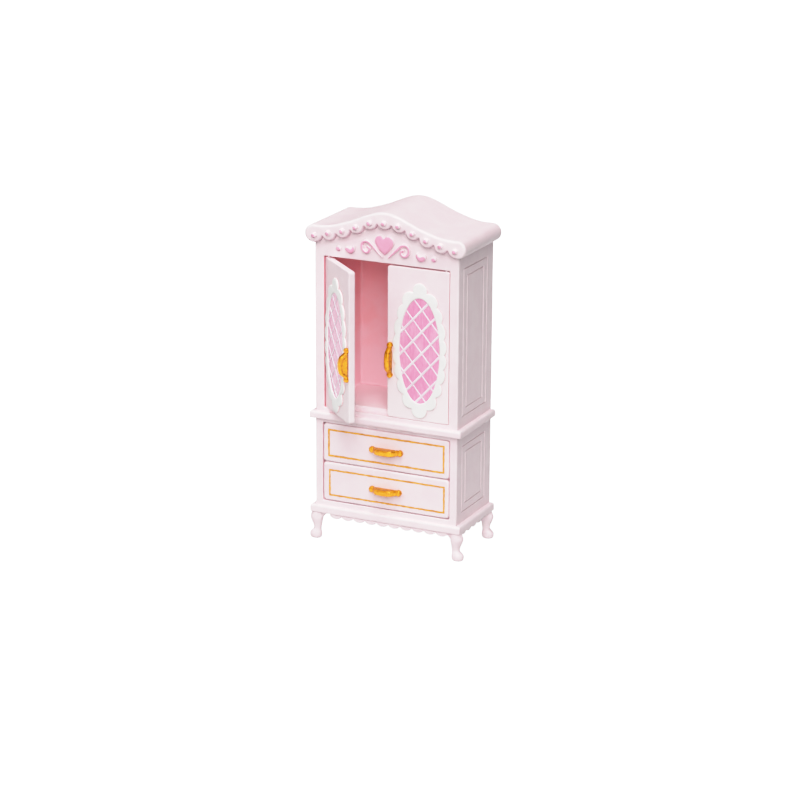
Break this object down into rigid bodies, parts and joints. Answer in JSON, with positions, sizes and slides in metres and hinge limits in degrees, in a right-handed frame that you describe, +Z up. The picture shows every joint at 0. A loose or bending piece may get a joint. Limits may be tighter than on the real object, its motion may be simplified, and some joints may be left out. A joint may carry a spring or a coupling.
{
  "type": "miniature wardrobe",
  "caption": "Miniature wardrobe with an arched scalloped top, hinged doors with latticed oval medallions, sliding drawers, gold bow pulls and curved legs.",
  "frame": {"origin": "floor level under the middle of the cabinet, where the feet stand", "axes": "+Z up, doors and drawers face -Y, flat back faces +Y, +X to the right as seen from the front"},
  "size_m": [0.0498, 0.0377, 0.1],
  "materials": {
    "cabinet_plastic": "satin moulded plastic, pale pink",
    "interior_plastic": "satin moulded plastic, pink inside the cabinet",
    "door_plastic": "satin moulded plastic, pale pink",
    "drawer_plastic": "satin moulded plastic, pale pink",
    "medallion_white": "white painted relief",
    "panel_pink": "glossy pink paint",
    "ornament_pink": "glossy pink paint on pale relief",
    "gold_paint": "gold paint"
  },
  "bodies": {
    "cabinet": {"roof": "cabinet_plastic", "upper_face_frame": "cabinet_plastic", "upper_side_left": "cabinet_plastic", "upper_side_right": "cabinet_plastic", "upper_back": "cabinet_plastic", "waist_shelf": "cabinet_plastic", "lower_face_frame": "cabinet_plastic", "lower_side_left": "cabinet_plastic", "lower_side_right": "cabinet_plastic", "lower_back": "cabinet_plastic", "base_shelf": "cabinet_plastic", "apron_front": "cabinet_plastic", "apron_left": "cabinet_plastic", "apron_right": "cabinet_plastic", "leg_front_left": "cabinet_plastic", "leg_front_right": "cabinet_plastic", "leg_rear_left": "cabinet_plastic", "leg_rear_right": "cabinet_plastic", "upper_lining_left": "interior_plastic", "upper_lining_right": "interior_plastic", "upper_floor": "interior_plastic", "upper_ceiling": "interior_plastic", "lower_floor": "interior_plastic", "drawer_divider": "interior_plastic", "fascia_pearls": "ornament_pink", "frieze_heart": "ornament_pink", "frieze_scroll_left": "ornament_pink", "frieze_scroll_right": "ornament_pink", "frieze_drops": "ornament_pink", "frieze_dots": "ornament_pink"},
    "left_door": {"door_left": "door_plastic", "door_panel_left": "panel_pink", "medallion_left": "medallion_white", "door_handle_left": "gold_paint"},
    "right_door": {"door_right": "door_plastic", "door_panel_right": "panel_pink", "medallion_right": "medallion_white", "door_handle_right": "gold_paint"},
    "top_drawer": {"drawer_upper": "drawer_plastic", "drawer_handle_upper": "gold_paint"},
    "bottom_drawer": {"drawer_lower": "drawer_plastic", "drawer_handle_lower": "gold_paint"}
  },
  "joints": [
    {"name": "left_door_hinge", "type": "hinge", "parent": "cabinet", "child": "left_door", "pos_m": [-0.01835, -0.0109, 0.0626], "axis": [0, 0, -1], "range_deg": [-43, 47]},
    {"name": "right_door_hinge", "type": "hinge", "parent": "cabinet", "child": "right_door", "pos_m": [0.01835, -0.0109, 0.0626], "axis": [0, 0, 1], "range_deg": [0, 90]},
    {"name": "upper_drawer_slide", "type": "slide", "parent": "cabinet", "child": "top_drawer", "axis": [0, -1, 0], "range_m": [0, 0.014]},
    {"name": "lower_drawer_slide", "type": "slide", "parent": "cabinet", "child": "bottom_drawer", "axis": [0, -1, 0], "range_m": [0, 0.014]}
  ]
}
